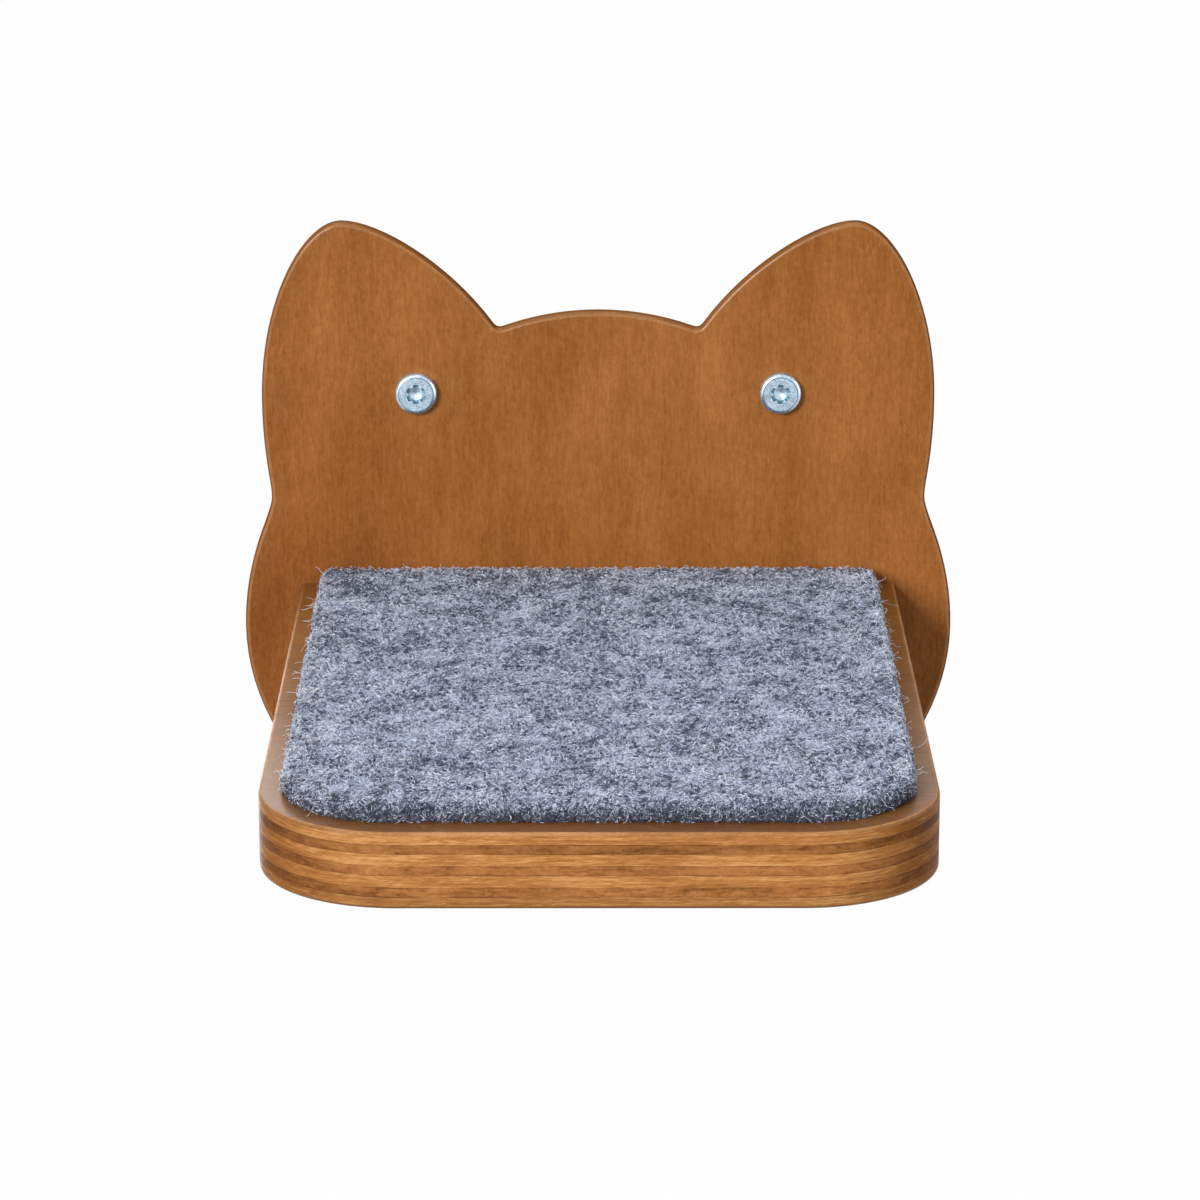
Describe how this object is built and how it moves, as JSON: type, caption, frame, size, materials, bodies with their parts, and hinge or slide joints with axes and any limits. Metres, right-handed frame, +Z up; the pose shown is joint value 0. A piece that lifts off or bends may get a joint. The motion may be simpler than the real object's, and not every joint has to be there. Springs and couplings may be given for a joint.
{
  "type": "cat wall shelf",
  "caption": "Cat-head shaped plywood panel screwed flat to a wall, carrying a plywood shelf board with round front corners and a lift-off felt mat.",
  "frame": {"origin": "midway between the two wall screws, on the panel's back face, which lies on the wall", "axes": "+Y into the wall, -Y the way the shelf stands out, +Z up, +X to the right of someone facing the shelf"},
  "size_m": [0.2006, 0.2765, 0.1953],
  "materials": {
    "panel_plywood": "thin plywood with an orange-brown stain and a satin coat, vertical grain",
    "board_plywood": "stained plywood, light and dark plies on its sanded edges",
    "felt": "blue-grey needle felt of mixed pale and charcoal fibres",
    "hook_tape": "black woven tape covered in fine hooks",
    "zinc_steel": "bright zinc plating"
  },
  "bodies": {
    "shelf": {"back_panel": "panel_plywood", "shelf_board": "board_plywood", "hook_tape_front": "hook_tape", "hook_tape_middle": "hook_tape", "hook_tape_rear": "hook_tape", "wall_screw_left": "zinc_steel", "wall_screw_right": "zinc_steel", "shelf_screw_left": "zinc_steel", "shelf_screw_middle": "zinc_steel", "shelf_screw_right": "zinc_steel"},
    "mat": {"felt_mat": "felt"}
  },
  "joints": [
    {"name": "mat_lift", "type": "slide", "parent": "shelf", "child": "mat", "axis": [0, 0, 1], "range_m": [0, 0.04]}
  ]
}
